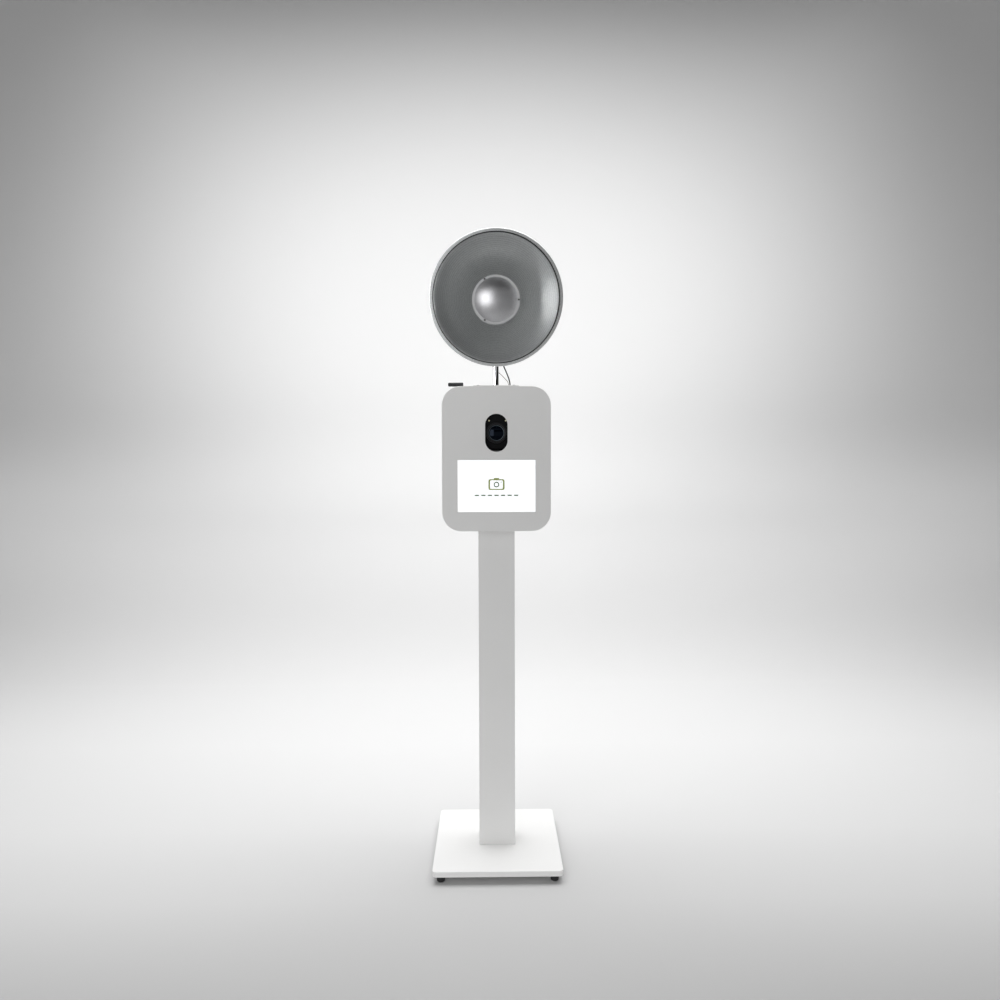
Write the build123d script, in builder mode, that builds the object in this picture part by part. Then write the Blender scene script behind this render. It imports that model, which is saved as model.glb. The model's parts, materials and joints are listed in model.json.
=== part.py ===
from build123d import *
import os
from math import cos, radians, sin, tan

os.makedirs("parts", exist_ok=True)

# Driving dimensions, in mm. +X is the right-hand side seen from the front, -Y is the front.
column_y = 18.9  # the column axis sits behind the centre of the footprint
base_side = 430.0
base_corner = 14.0
plate_thick = 9.4
foot_height = 25.0
foot_radius = 13.5
foot_pitch = 188.0
column_w, column_d, column_wall = 125.0, 90.0, 3.0
housing_w, housing_h, housing_d = 364.0, 484.0, 220.0
housing_corner = 64.0
wall = 3.0
screen_w, screen_h = 260.3, 173.5
slot_w, slot_h = 75.0, 126.5
lens_r = 34.5
mast_r = 10.0
dish_r = 212.0
deflector_r = 78.0
head_size = 124.0
rest_pitch = 10.5  # the dish faces this many degrees below level
power_cord_r = 2.25
sync_cord_r = 1.1

ballast_top = foot_height + plate_thick
base_top = ballast_top + plate_thick
housing_z0 = 1149.0
housing_z1 = housing_z0 + housing_h
housing_mid = (housing_z0 + housing_z1) / 2
screen_z = 1300.3
slot_z = 1478.0
lens_z = 1478.5
shelf_z0, shelf_z1 = 1425.8, 1435.8
plate_z1 = housing_z1 + 4.0
pivot_z = 1846.3
head_up = 88.0  # head axis above the tilt pivot
rim_s = 201.7  # rim plane ahead of the tilt pivot, along the head axis

corners = [(sx, sy) for sx in (-1, 1) for sy in (-1, 1)]
ahead = Vector(0, -cos(radians(rest_pitch)), -sin(radians(rest_pitch)))
above = Vector(0, -sin(radians(rest_pitch)), cos(radians(rest_pitch)))
pivot = Vector(0, column_y, pivot_z)
head_axis = Axis(pivot + above * head_up, ahead)
head_side = Plane(origin=pivot, x_dir=ahead, z_dir=(-1, 0, 0))


def level(z):
    """Horizontal plane whose origin is on the column axis."""
    return Plane(origin=(0, column_y, z), x_dir=(1, 0, 0), z_dir=(0, 0, 1))


def facing(y):
    """Upright plane facing the front, at y behind the column axis."""
    return Plane(origin=(0, column_y + y, 0), x_dir=(1, 0, 0), z_dir=(0, -1, 0))


def sideways(x):
    """Upright plane facing +X: local x runs to the back, local y runs up."""
    return Plane(origin=(x, column_y, 0), x_dir=(0, 1, 0), z_dir=(1, 0, 0))


def head_face(s):
    """Plane square to the head axis, s ahead of the tilt pivot."""
    return Plane(origin=pivot + ahead * s, x_dir=(1, 0, 0), z_dir=ahead)


def head_point(x, s, up):
    return Vector(x, 0, 0) + pivot + ahead * s + above * up


def cord_radii(points):
    """Bend radius at each inner route point, from its shorter run and its turn."""
    radii = []
    for a, b, c in zip(points, points[1:], points[2:]):
        run_in, run_out = Vector(b) - Vector(a), Vector(c) - Vector(b)
        turn = radians(run_in.get_angle(run_out))
        radii.append(0.45 * min(run_in.length, run_out.length) / tan(turn / 2))
    return radii


# ---------------------------------------------------------------- base
foot_spots = [(sx * foot_pitch, sy * foot_pitch) for sx, sy in corners]
base_bolts = [(sx * 72, sy * 30) for sx, sy in corners]
top_bolts = [(sx * 45, sy * 28) for sx, sy in corners]
plate_screw_spots = [(sx * 61, y) for sx in (-1, 1) for y in (-86, 48)]
flange_screw_spots = [(sx * 22, sy * 22) for sx, sy in corners]

with BuildPart() as rubber_feet:
    with BuildSketch(level(0)):
        with Locations(foot_spots):
            Circle(foot_radius)
    extrude(amount=foot_height)
    fillet(rubber_feet.faces().group_by(Axis.Z)[0].edges(), 4)
    with BuildSketch(level(0)):
        with Locations(foot_spots):
            Circle(7.6)
    extrude(amount=18, mode=Mode.SUBTRACT)
    with BuildSketch(level(0)):
        with Locations(foot_spots):
            Circle(4.05)
    extrude(amount=foot_height, mode=Mode.SUBTRACT)
rubber_feet.part.label = "rubber_feet"

with BuildPart() as foot_screws:
    with BuildSketch(level(18)):
        with Locations(foot_spots):
            Circle(6.5)
            RegularPolygon(3.2, 6, mode=Mode.SUBTRACT)
    extrude(amount=-7)
    with BuildSketch(level(18)):
        with Locations(foot_spots):
            Circle(4)
    extrude(amount=ballast_top - 18)
foot_screws.part.label = "foot_screws"

with BuildPart() as base_ballast_plate:
    with BuildSketch(level(foot_height)):
        RectangleRounded(base_side, base_side, base_corner)
        with Locations(foot_spots):
            Circle(4.05, mode=Mode.SUBTRACT)
        with Locations(base_bolts):
            Circle(4.05, mode=Mode.SUBTRACT)
    extrude(amount=plate_thick)
    chamfer(base_ballast_plate.faces().sort_by(Axis.Z)[0].outer_wire().edges(), 0.8)
base_ballast_plate.part.label = "base_ballast_plate"

with BuildPart() as base_cover:
    with BuildSketch(level(ballast_top)):
        RectangleRounded(base_side, base_side, base_corner)
    extrude(amount=plate_thick)
    with BuildSketch(level(ballast_top)):
        RectangleRounded(base_side - 6, base_side - 6, base_corner - 3)
    extrude(amount=plate_thick - wall, mode=Mode.SUBTRACT)
    with BuildSketch(level(ballast_top)):
        RectangleRounded(column_w + 1, column_d + 1, 1.5)
    extrude(amount=plate_thick, mode=Mode.SUBTRACT)
    fillet(base_cover.faces().sort_by(Axis.Z)[-1].outer_wire().edges(), 1.2)
base_cover.part.label = "base_cover"

# ---------------------------------------------------------------- column
column_z0 = base_top - wall
with BuildPart() as column:
    with BuildSketch(level(column_z0)):
        RectangleRounded(column_w, column_d, 1)
        Rectangle(column_w - 2 * column_wall, column_d - 2 * column_wall, mode=Mode.SUBTRACT)
    extrude(amount=housing_z0 - column_z0)
    with BuildSketch(level(ballast_top)):
        RectangleRounded(180, 120, 8)
        Rectangle(60, 40, mode=Mode.SUBTRACT)
        with Locations(base_bolts):
            Circle(4.05, mode=Mode.SUBTRACT)
    extrude(amount=column_z0 - ballast_top)
    with BuildSketch(level(housing_z0)):
        Rectangle(column_w - 2 * column_wall, column_d - 2 * column_wall)
        Circle(18, mode=Mode.SUBTRACT)
        with Locations(top_bolts):
            Circle(4.05, mode=Mode.SUBTRACT)
    extrude(amount=-10)
    with BuildSketch(facing(column_d / 2 + 1)):
        with Locations((-12, 130)):
            Rectangle(28, 20.6)
        with Locations((22, 130)):
            Rectangle(13.6, 19.6)
    extrude(amount=column_wall + 2, mode=Mode.SUBTRACT)
column.part.label = "column"

with BuildPart() as column_bolts:
    for z, spots, way in ((foot_height, base_bolts, -1), (housing_z0 + wall, top_bolts, 1)):
        with BuildSketch(level(z)):
            with Locations(spots):
                RegularPolygon(6.5, 6, major_radius=False)
        extrude(amount=5.5 * way)
        with BuildSketch(level(z)):
            with Locations(spots):
                Circle(4)
        extrude(amount=-12 * way)
column_bolts.part.label = "column_bolts"

with BuildPart() as power_inlet:
    with BuildSketch(facing(column_d / 2)):
        with Locations((0, 130)):
            RectangleRounded(84, 32, 4)
    extrude(amount=-3)
    with BuildSketch(facing(column_d / 2)):
        with Locations((-12, 130)):
            Rectangle(27.6, 20.2)
    extrude(amount=18)
    with BuildSketch(facing(column_d / 2 + 3)):
        with Locations((-12, 130)):
            RectangleRounded(23, 15, 3)
        with Locations((22, 130)):
            Rectangle(13.2, 19.2)
    extrude(amount=14, mode=Mode.SUBTRACT)
    with BuildSketch(facing(column_d / 2 - 11)):
        with Locations([(-19, 130), (-12, 132), (-5, 130)]):
            Rectangle(2, 5)
    extrude(amount=-10)
power_inlet.part.label = "power_inlet"

with BuildPart() as power_switch:
    with BuildSketch(Plane(origin=(15.8, column_y, 130), x_dir=(0, 1, 0), z_dir=(1, 0, 0))):
        with BuildLine():
            Polyline((41, 6.6), (42, 8.6), (46, 9.2), (50.5, 8.8), (47.6, 0), (50.5, -8.8))
            Polyline((50.5, -8.8), (46, -9.2), (42, -8.6), (41, -6.6), (41, 6.6))
        make_face()
    extrude(amount=12.4)
power_switch.part.label = "power_switch"

# ---------------------------------------------------------------- housing
with BuildPart() as housing_shell:
    with BuildSketch(facing(107)):
        with Locations((0, housing_mid)):
            RectangleRounded(housing_w, housing_h, housing_corner)
    extrude(amount=214)
    with BuildSketch(facing(105)):
        with Locations((0, housing_mid)):
            RectangleRounded(housing_w - 2 * wall, housing_h - 2 * wall, housing_corner - wall)
    extrude(amount=210, mode=Mode.SUBTRACT)
    with BuildSketch(facing(107)):
        with Locations((0, housing_mid)):
            RectangleRounded(housing_w - 34, housing_h - 34, housing_corner - 17)
    extrude(amount=214, mode=Mode.SUBTRACT)
    with BuildSketch(level(housing_z0 - 1)):
        with Locations(top_bolts):
            Circle(4.05)
        Circle(18)
    extrude(amount=wall + 2, mode=Mode.SUBTRACT)
    with BuildSketch(level(housing_z1 + 1)):
        with Locations(plate_screw_spots):
            Circle(2.55)
        with Locations((47.5, 20)):
            Circle(8.1)
        with Locations(flange_screw_spots):
            Circle(2.55)
    extrude(amount=-wall - 2, mode=Mode.SUBTRACT)
housing_shell.part.label = "housing_shell"

with BuildPart() as front_panel:
    with BuildSketch(facing(-107)):
        with Locations((0, housing_mid)):
            RectangleRounded(housing_w, housing_h, housing_corner)
        with Locations((0, screen_z)):
            RectangleRounded(screen_w, screen_h, 1.5, mode=Mode.SUBTRACT)
        with Locations((0, slot_z)):
            SlotOverall(slot_h, slot_w, rotation=90, mode=Mode.SUBTRACT)
    extrude(amount=3)
    fillet(front_panel.faces().sort_by(Axis.Y)[0].outer_wire().edges(), 1.5)
front_panel.part.label = "front_panel"

with BuildPart() as tablet_frame:
    with BuildSketch(facing(-107)):
        with Locations((0, screen_z)):
            RectangleRounded(318, 226, 5)
            RectangleRounded(292.6, 201.6, 8, mode=Mode.SUBTRACT)
    extrude(amount=-8)
tablet_frame.part.label = "tablet_frame"

with BuildPart() as tablet_display:
    with BuildSketch(facing(-107)):
        with Locations((0, screen_z)):
            RectangleRounded(292, 201, 7.7)
    extrude(amount=-1.2)
tablet_display.part.label = "tablet_display"

with BuildPart() as tablet_body:
    with BuildSketch(facing(-105.8)):
        with Locations((0, screen_z)):
            RectangleRounded(292, 201, 7.7)
    extrude(amount=-6.8)
    fillet(tablet_body.faces().sort_by(Axis.Y)[-1].outer_wire().edges(), 3)
tablet_body.part.label = "tablet_body"

# Camera bracket: a foot on the housing floor and an upright with two height slots.
with BuildPart() as camera_bracket:
    with BuildSketch(sideways(-40)):
        with BuildLine():
            Polyline((18, housing_z0 + 3), (54, housing_z0 + 3), (54, 1572), (50, 1572))
            Polyline((50, 1572), (50, housing_z0 + 7), (18, housing_z0 + 7), (18, housing_z0 + 3))
        make_face()
    extrude(amount=80)
    with BuildSketch(facing(49)):
        with Locations([(-22, 1470), (22, 1470)]):
            SlotOverall(60, 6.2, rotation=90)
    extrude(amount=-6, mode=Mode.SUBTRACT)
    with BuildSketch(level(housing_z0 + 8)):
        with Locations([(sx * 45, 28) for sx in (-1, 1)]):
            Circle(9)
        Circle(18)
    extrude(amount=-6, mode=Mode.SUBTRACT)
camera_bracket.part.label = "camera_bracket"

with BuildPart() as camera_shelf:
    with BuildSketch(sideways(-58)):
        with BuildLine():
            Polyline((-94, shelf_z0), (50, shelf_z0), (50, 1497), (46, 1497))
            Polyline((46, 1497), (46, shelf_z1), (-94, shelf_z1), (-94, shelf_z0))
        make_face()
    extrude(amount=116)
    with BuildSketch(facing(45)):
        with Locations([(-22, 1470), (22, 1470)]):
            Circle(3.05)
    extrude(amount=-6, mode=Mode.SUBTRACT)
    with BuildSketch(sideways(-60)):
        with Locations((-22, shelf_z0)):
            Rectangle(118, 12)
    extrude(amount=6, mode=Mode.SUBTRACT)
camera_shelf.part.label = "camera_shelf"

with BuildPart() as shelf_knobs:
    with BuildSketch(facing(44)):
        with Locations([(-22, 1470), (22, 1470)]):
            Circle(5)
    extrude(amount=-2)
    with BuildSketch(facing(44)):
        with Locations([(-22, 1470), (22, 1470)]):
            Circle(3)
    extrude(amount=-22)
    with BuildSketch(facing(54.2)):
        with Locations([(-22, 1470), (22, 1470)]):
            Circle(10)
            with PolarLocations(10.6, 8):
                Circle(2.4, mode=Mode.SUBTRACT)
    extrude(amount=-14)
shelf_knobs.part.label = "shelf_knobs"

with BuildPart() as camera_body:
    with BuildSketch(facing(30)):
        with Locations((0, shelf_z1 + 46)):
            RectangleRounded(138, 92, 14)
    extrude(amount=50)
    with BuildSketch(facing(30)):
        with Locations((-58, shelf_z1 + 44)):
            RectangleRounded(24, 84, 10)
    extrude(amount=66)
    with BuildSketch(facing(26)):
        with BuildLine():
            Polyline((-34, shelf_z1 + 88), (-20, shelf_z1 + 106), (20, shelf_z1 + 106), (34, shelf_z1 + 88))
            Line((34, shelf_z1 + 88), (-34, shelf_z1 + 88))
        make_face()
    extrude(amount=58)
    with BuildSketch(facing(-20)):
        with Locations((0, lens_z)):
            Circle(36)
    extrude(amount=6)
camera_body.part.label = "camera_body"

lens_axis = Axis((0, column_y, lens_z), (0, 1, 0))
with BuildPart() as lens_barrel:
    with BuildSketch(sideways(0)):
        with BuildLine():
            Polyline((-26, lens_z), (-26, lens_z + 33), (-33, lens_z + 33), (-33, lens_z + 31))
            Polyline((-33, lens_z + 31), (-63, lens_z + 31), (-63, lens_z + lens_r), (-99, lens_z + lens_r))
            Polyline((-99, lens_z + lens_r), (-100, lens_z + 33.5), (-100, lens_z + 29.6), (-92, lens_z + 29.0))
            Polyline((-92, lens_z + 29.0), (-91, lens_z + 26.2), (-86, lens_z + 25.6), (-86, lens_z))
            Line((-86, lens_z), (-26, lens_z))
        make_face()
    revolve(axis=lens_axis)
lens_barrel.part.label = "lens_barrel"

with BuildPart() as lens_glass:
    with BuildSketch(sideways(0)):
        with BuildLine():
            Polyline((-86, lens_z), (-86, lens_z + 25), (-87.5, lens_z + 25))
            ThreePointArc((-87.5, lens_z + 25), (-90.8, lens_z + 13), (-92, lens_z + 0.8))
            Polyline((-92, lens_z + 0.8), (-92, lens_z), (-86, lens_z))
        make_face()
    revolve(axis=lens_axis)
lens_glass.part.label = "lens_glass"

with BuildPart() as zoom_ring:
    with BuildSketch(facing(-34)):
        with Locations((0, lens_z)):
            Circle(34)
            with PolarLocations(34.4, 36):
                Rectangle(1.6, 2.4, mode=Mode.SUBTRACT)
            Circle(31.06, mode=Mode.SUBTRACT)
    extrude(amount=28)
zoom_ring.part.label = "zoom_ring"

with BuildPart() as lens_shroud:
    with BuildSketch(facing(-94)):
        with Locations((0, shelf_z1 + 56)):
            RectangleRounded(104, 112, 4)
        with Locations((0, lens_z)):
            Circle(lens_r + 0.6, mode=Mode.SUBTRACT)
        with Locations([(-24, 1519.3), (31.5, 1519.3)]):
            Circle(1.6, mode=Mode.SUBTRACT)
    extrude(amount=2)
lens_shroud.part.label = "lens_shroud"

with BuildPart() as shroud_screws:
    with BuildSketch(facing(-96)):
        with Locations([(-24, 1519.3), (31.5, 1519.3)]):
            Circle(2.6)
    extrude(amount=1.2)
    with BuildSketch(facing(-96)):
        with Locations([(-24, 1519.3), (31.5, 1519.3)]):
            Circle(1.5)
    extrude(amount=-3)
shroud_screws.part.label = "shroud_screws"

# ---------------------------------------------------------------- rear door
fan_x, fan_z = 86.0, 1540.0
lock_x, lock_z = 140.0, 1391.0
hinge_x, hinge_y = -186.5, 108.5
with BuildPart() as rear_door:
    with BuildSketch(facing(110)):
        with Locations((0, housing_mid)):
            RectangleRounded(housing_w, housing_h, housing_corner)
        with Locations([(fan_x, fan_z + 10 * k) for k in range(-3, 4)]):
            SlotOverall(60, 4, mode=Mode.SUBTRACT)
        with Locations([(0, 1202 + 12 * k) for k in range(5)]):
            SlotOverall(150, 5, mode=Mode.SUBTRACT)
        with Locations((lock_x, lock_z)):
            Circle(9.3, mode=Mode.SUBTRACT)
    extrude(amount=3)
    with BuildSketch(facing(107)):
        with Locations((0, housing_mid)):
            RectangleRounded(housing_w - 44, housing_h - 44, housing_corner - 22)
            RectangleRounded(housing_w - 48, housing_h - 48, housing_corner - 24, mode=Mode.SUBTRACT)
    extrude(amount=7)
    fillet(rear_door.faces().sort_by(Axis.Y)[-1].outer_wire().edges(), 1.2)
rear_door.part.label = "rear_door"

with BuildPart() as shell_hinge_leaf:
    with BuildSketch(Plane(origin=(0, column_y, 1261), x_dir=(1, 0, 0), z_dir=(0, 0, 1))):
        with Locations((-183, 92)):
            Rectangle(2, 26)
    extrude(amount=260)
    with BuildSketch(level(1261)):
        with Locations((hinge_x, hinge_y)):
            Circle(4)
        with Locations((-184.2, 104.7)):
            Rectangle(4.4, 3)
    extrude(amount=260)
    for k in range(6):
        with BuildSketch(level(1281 + 40 * k - 0.3)):
            with Locations((hinge_x, hinge_y)):
                Circle(6)
        extrude(amount=20.6, mode=Mode.SUBTRACT)
    with BuildSketch(level(1260)):
        with Locations((hinge_x, hinge_y)):
            Circle(2.05)
    extrude(amount=262, mode=Mode.SUBTRACT)
shell_hinge_leaf.part.label = "shell_hinge_leaf"

with BuildPart() as door_hinge_leaf:
    for k in range(6):
        with BuildSketch(level(1281 + 40 * k)):
            with Locations((hinge_x, hinge_y)):
                Circle(4)
            with Locations((-182.4, 111.25)):
                Rectangle(8.4, 2.5)
        extrude(amount=20)
    with BuildSketch(level(1272)):
        with Locations((-166, 111.25)):
            Rectangle(26, 2.5)
    extrude(amount=238)
    with BuildSketch(level(1260)):
        with Locations((hinge_x, hinge_y)):
            Circle(2.05)
    extrude(amount=262, mode=Mode.SUBTRACT)
door_hinge_leaf.part.label = "door_hinge_leaf"

with BuildPart() as hinge_pin:
    with BuildSketch(level(1259)):
        with Locations((hinge_x, hinge_y)):
            Circle(2)
    extrude(amount=264)
    with BuildSketch(level(1521.5)):
        with Locations((hinge_x, hinge_y)):
            Circle(3.2)
    extrude(amount=3)
hinge_pin.part.label = "hinge_pin"

with BuildPart() as door_lock_body:
    with BuildSketch(facing(112.5)):
        with Locations((lock_x, lock_z)):
            Circle(12)
            Circle(6.06, mode=Mode.SUBTRACT)
    extrude(amount=2.5)
    with BuildSketch(facing(110)):
        with Locations((lock_x, lock_z)):
            Circle(9)
            Circle(6.06, mode=Mode.SUBTRACT)
    extrude(amount=8.5)
door_lock_body.part.label = "door_lock_body"

with BuildPart() as door_lock_cam:
    with BuildSketch(facing(113)):
        with Locations((lock_x, lock_z)):
            Circle(6)
    extrude(amount=16.5)
    with BuildSketch(facing(99)):
        with Locations((lock_x, lock_z - 14.75)):
            RectangleRounded(13, 42.5, 4)
    extrude(amount=2.5)
    with BuildSketch(facing(114)):
        with Locations((lock_x, lock_z)):
            Rectangle(1.2, 7)
    extrude(amount=4, mode=Mode.SUBTRACT)
door_lock_cam.part.label = "door_lock_cam"

with BuildPart() as fan_frame:
    with BuildSketch(facing(107)):
        with Locations((fan_x, fan_z)):
            RectangleRounded(80, 80, 5)
            Circle(37.5, mode=Mode.SUBTRACT)
    extrude(amount=20)
    with BuildSketch(facing(107)):
        with Locations((fan_x, fan_z)):
            Circle(15)
            for turn in (45, 135):
                Rectangle(80, 5, rotation=turn)
    extrude(amount=2)
    with BuildSketch(facing(105)):
        with Locations((fan_x, fan_z)):
            Circle(1.9)
    extrude(amount=12)
fan_frame.part.label = "fan_frame"

with BuildPart() as fan_rotor:
    with BuildSketch(facing(104)):
        with Locations((fan_x, fan_z)):
            Circle(14)
            for k in range(7):
                with BuildLine(mode=Mode.PRIVATE) as blade:
                    Polyline((12, -1.4), (36.5, 6), (36.5, 8.4), (12, 1.4), (12, -1.4))
                add(make_face(blade.edges(), mode=Mode.PRIVATE).rotate(Axis.Z, k * 360 / 7))
    extrude(amount=13)
    with BuildSketch(facing(105)):
        with Locations((fan_x, fan_z)):
            Circle(1.95)
    extrude(amount=13, mode=Mode.SUBTRACT)
fan_rotor.part.label = "fan_rotor"

# ---------------------------------------------------------------- top of the housing
with BuildPart() as mast_plate:
    with BuildSketch(level(housing_z1)):
        with Locations((0, -20)):
            RectangleRounded(153, 158, 6)
        with Locations(plate_screw_spots):
            Circle(2.55, mode=Mode.SUBTRACT)
        with Locations((47.5, 20)):
            Circle(8.1, mode=Mode.SUBTRACT)
        with Locations(flange_screw_spots):
            Circle(2.55, mode=Mode.SUBTRACT)
    extrude(amount=4)
mast_plate.part.label = "mast_plate"

with BuildPart() as cord_grommet:
    with BuildSketch(level(housing_z1 - 5)):
        with Locations((47.5, 20)):
            Circle(8)
    extrude(amount=9)
    with BuildSketch(level(plate_z1)):
        with Locations((47.5, 20)):
            Circle(10.5)
    extrude(amount=4)
    fillet(cord_grommet.faces().sort_by(Axis.Z)[-1].edges(), 1.5)
cord_grommet.part.label = "cord_grommet"

with BuildPart() as top_screws:
    for z, spots in ((plate_z1, plate_screw_spots), (plate_z1 + 5, flange_screw_spots)):
        with BuildSketch(level(z)):
            with Locations(spots):
                Circle(4.5)
        extrude(amount=3)
        fillet(top_screws.faces().filter_by(lambda f: abs(f.center().Z - z - 3) < 0.01).edges(), 1.6)
        with BuildSketch(level(z)):
            with Locations(spots):
                Circle(2.5)
        extrude(amount=-12)
        with BuildSketch(level(z + 3)):
            with Locations(spots):
                RegularPolygon(1.7, 6)
        extrude(amount=-1.6, mode=Mode.SUBTRACT)
top_screws.part.label = "top_screws"

with BuildPart() as mast:
    with BuildSketch(level(plate_z1)):
        RectangleRounded(60, 60, 8)
        with Locations(flange_screw_spots):
            Circle(2.55, mode=Mode.SUBTRACT)
    extrude(amount=5)
    with BuildSketch(level(plate_z1)):
        Circle(mast_r)
    extrude(amount=1785 - plate_z1)
    with BuildSketch(level(plate_z1)):
        Circle(mast_r - 2)
    extrude(amount=1785 - plate_z1, mode=Mode.SUBTRACT)
    chamfer(mast.faces().sort_by(Axis.Z)[-1].outer_wire().edges(), 0.8)
mast.part.label = "mast"

antenna_z = housing_z1 + 7.0
with BuildPart() as antenna_mount:
    with BuildSketch(Plane(origin=(-146, column_y - 92, antenna_z), x_dir=(0, 1, 0), z_dir=(1, 0, 0))):
        Circle(6.8)
    extrude(amount=36)
    fillet(antenna_mount.faces().sort_by(Axis.X)[-1].edges(), 3)
    with BuildSketch(Plane(origin=(-115, column_y - 92, housing_z1), x_dir=(1, 0, 0), z_dir=(0, 0, 1))):
        Rectangle(8, 14)
    extrude(amount=7)
    with BuildSketch(Plane(origin=(-154, column_y - 92, antenna_z), x_dir=(0, 1, 0), z_dir=(1, 0, 0))):
        Circle(2.5)
    extrude(amount=10)
antenna_mount.part.label = "antenna_mount"

with BuildPart() as antenna_stub:
    with BuildSketch(Plane(origin=(-161, column_y - 92, antenna_z), x_dir=(0, 1, 0), z_dir=(1, 0, 0))):
        Circle(6.6)
    extrude(amount=14.6)
    fillet(antenna_stub.faces().sort_by(Axis.X)[0].edges(), 4)
    with BuildSketch(Plane(origin=(-154.4, column_y - 92, antenna_z), x_dir=(0, 1, 0), z_dir=(1, 0, 0))):
        Circle(2.55)
    extrude(amount=10, mode=Mode.SUBTRACT)
antenna_stub.part.label = "antenna_stub"

# ---------------------------------------------------------------- tilt bracket
with BuildPart() as tilt_bracket:
    with BuildSketch(level(1720)):
        RectangleRounded(34, 34, 7)
    extrude(amount=72)
    with BuildSketch(level(1788)):
        RectangleRounded(40, 34, 5)
    extrude(amount=12)
    for x in (-20, 12):
        with BuildSketch(sideways(x)):
            with Locations((0, pivot_z)):
                Circle(16)
            with Locations((0, (pivot_z + 1792) / 2)):
                Rectangle(32, pivot_z - 1792)
        extrude(amount=8)
    with BuildSketch(sideways(-21)):
        with Locations((0, pivot_z)):
            Circle(5.05)
    extrude(amount=42, mode=Mode.SUBTRACT)
    with BuildSketch(level(1719)):
        Circle(mast_r + 0.05)
    extrude(amount=66.3, mode=Mode.SUBTRACT)
    with BuildSketch(sideways(-18)):
        with Locations((0, 1738)):
            Circle(3.05)
    extrude(amount=12, mode=Mode.SUBTRACT)
tilt_bracket.part.label = "tilt_bracket"

with BuildPart() as swivel_knob:
    with BuildSketch(sideways(-12.5)):
        with Locations((0, 1738)):
            Circle(3)
    extrude(amount=-8.5)
    with BuildSketch(sideways(-18)):
        with Locations((0, 1738)):
            Circle(7)
    extrude(amount=-3)
    with BuildSketch(sideways(-21)):
        with Locations((0, 1738)):
            Circle(14)
            with PolarLocations(15.6, 6):
                Circle(4.5, mode=Mode.SUBTRACT)
    extrude(amount=-13)
swivel_knob.part.label = "swivel_knob"

with BuildPart() as tilt_shaft:
    with BuildSketch(sideways(-26)):
        with Locations((0, pivot_z)):
            RegularPolygon(9, 6)
    extrude(amount=6)
    with BuildSketch(sideways(-22)):
        with Locations((0, pivot_z)):
            Circle(5)
    extrude(amount=60)
    with BuildSketch(sideways(33.4)):
        with Locations((0, pivot_z)):
            Circle(8)
    extrude(amount=3)
tilt_shaft.part.label = "tilt_shaft"

with BuildPart() as tilt_lever:
    with BuildSketch(sideways(20.4)):
        with Locations((0, pivot_z)):
            Circle(11)
    extrude(amount=12.6)
    with BuildSketch(sideways(25)):
        with BuildLine():
            Polyline((4, pivot_z + 8), (62, pivot_z - 22), (58, pivot_z - 32), (-4, pivot_z - 9))
            Line((-4, pivot_z - 9), (4, pivot_z + 8))
        make_face()
    extrude(amount=8)
    with BuildSketch(sideways(19)):
        with Locations((0, pivot_z)):
            Circle(5.05)
    extrude(amount=20, mode=Mode.SUBTRACT)
tilt_lever.part.label = "tilt_lever"

clip_z0, clip_z1 = 1757.0, 1769.0
with BuildPart() as cord_clip:
    with BuildSketch(level(clip_z0)):
        with Locations((1, 24)):
            RectangleRounded(56, 14, 4)
    extrude(amount=clip_z1 - clip_z0)
cord_clip.part.label = "cord_clip"

# ---------------------------------------------------------------- flash head
with BuildPart() as head_foot:
    with BuildSketch(head_side):
        with BuildLine():
            Polyline((-34, 26), (34, 26), (34, 19), (15, 19), (15, 0))
            ThreePointArc((15, 0), (0, -15), (-15, 0))
            Polyline((-15, 0), (-15, 19), (-34, 19), (-34, 26))
        make_face()
    extrude(amount=11.8, both=True)
    with BuildSketch(head_side):
        with Locations((0, 22.5)):
            Rectangle(68, 7)
    extrude(amount=23.5, both=True)
    with BuildSketch(head_side):
        Circle(5.05)
    extrude(amount=12, both=True, mode=Mode.SUBTRACT)
head_foot.part.label = "head_foot"

with BuildPart() as head_body:
    with BuildSketch(head_face(-185)):
        with Locations((0, head_up)):
            RectangleRounded(head_size, head_size, 28)
            RectangleRounded(head_size - 6, head_size - 6, 25, mode=Mode.SUBTRACT)
    extrude(amount=213)
    for side in (-1, 1):
        with BuildSketch(Plane(origin=head_point(side * 60, 0, 0), x_dir=ahead, z_dir=(side, 0, 0))):
            with Locations([(-150 + 14 * k, -side * head_up) for k in range(9)]):
                SlotOverall(46, 4, rotation=90)
        extrude(amount=4, mode=Mode.SUBTRACT)
head_body.part.label = "head_body"

with BuildPart() as head_front_ring:
    with BuildSketch(head_face(28)):
        with Locations((0, head_up)):
            RectangleRounded(head_size, head_size, 28)
    extrude(amount=4)
    with BuildSketch(head_face(32)):
        with Locations((0, head_up)):
            Circle(60)
    extrude(amount=8)
head_front_ring.part.label = "head_front_ring"

with BuildPart() as head_rear_panel:
    with BuildSketch(head_face(-185)):
        with Locations((0, head_up)):
            RectangleRounded(head_size, head_size, 28)
    extrude(amount=-6)
    fillet(head_rear_panel.faces().sort_by(Axis.Y)[-1].outer_wire().edges(), 2.5)
    with BuildSketch(head_face(-192)):
        with Locations((24, head_up - 26)):
            Circle(6.3)
        with Locations((-24, head_up - 26)):
            Rectangle(13.4, 19.6)
    extrude(amount=5, mode=Mode.SUBTRACT)
    with BuildSketch(head_face(-192)):
        with Locations((0, head_up + 30)):
            RectangleRounded(58, 26, 3)
    extrude(amount=2, mode=Mode.SUBTRACT)
    with BuildSketch(head_face(-192)):
        with Locations((0, head_up - 2)):
            Circle(3.05)
    extrude(amount=4, mode=Mode.SUBTRACT)
head_rear_panel.part.label = "head_rear_panel"

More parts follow.
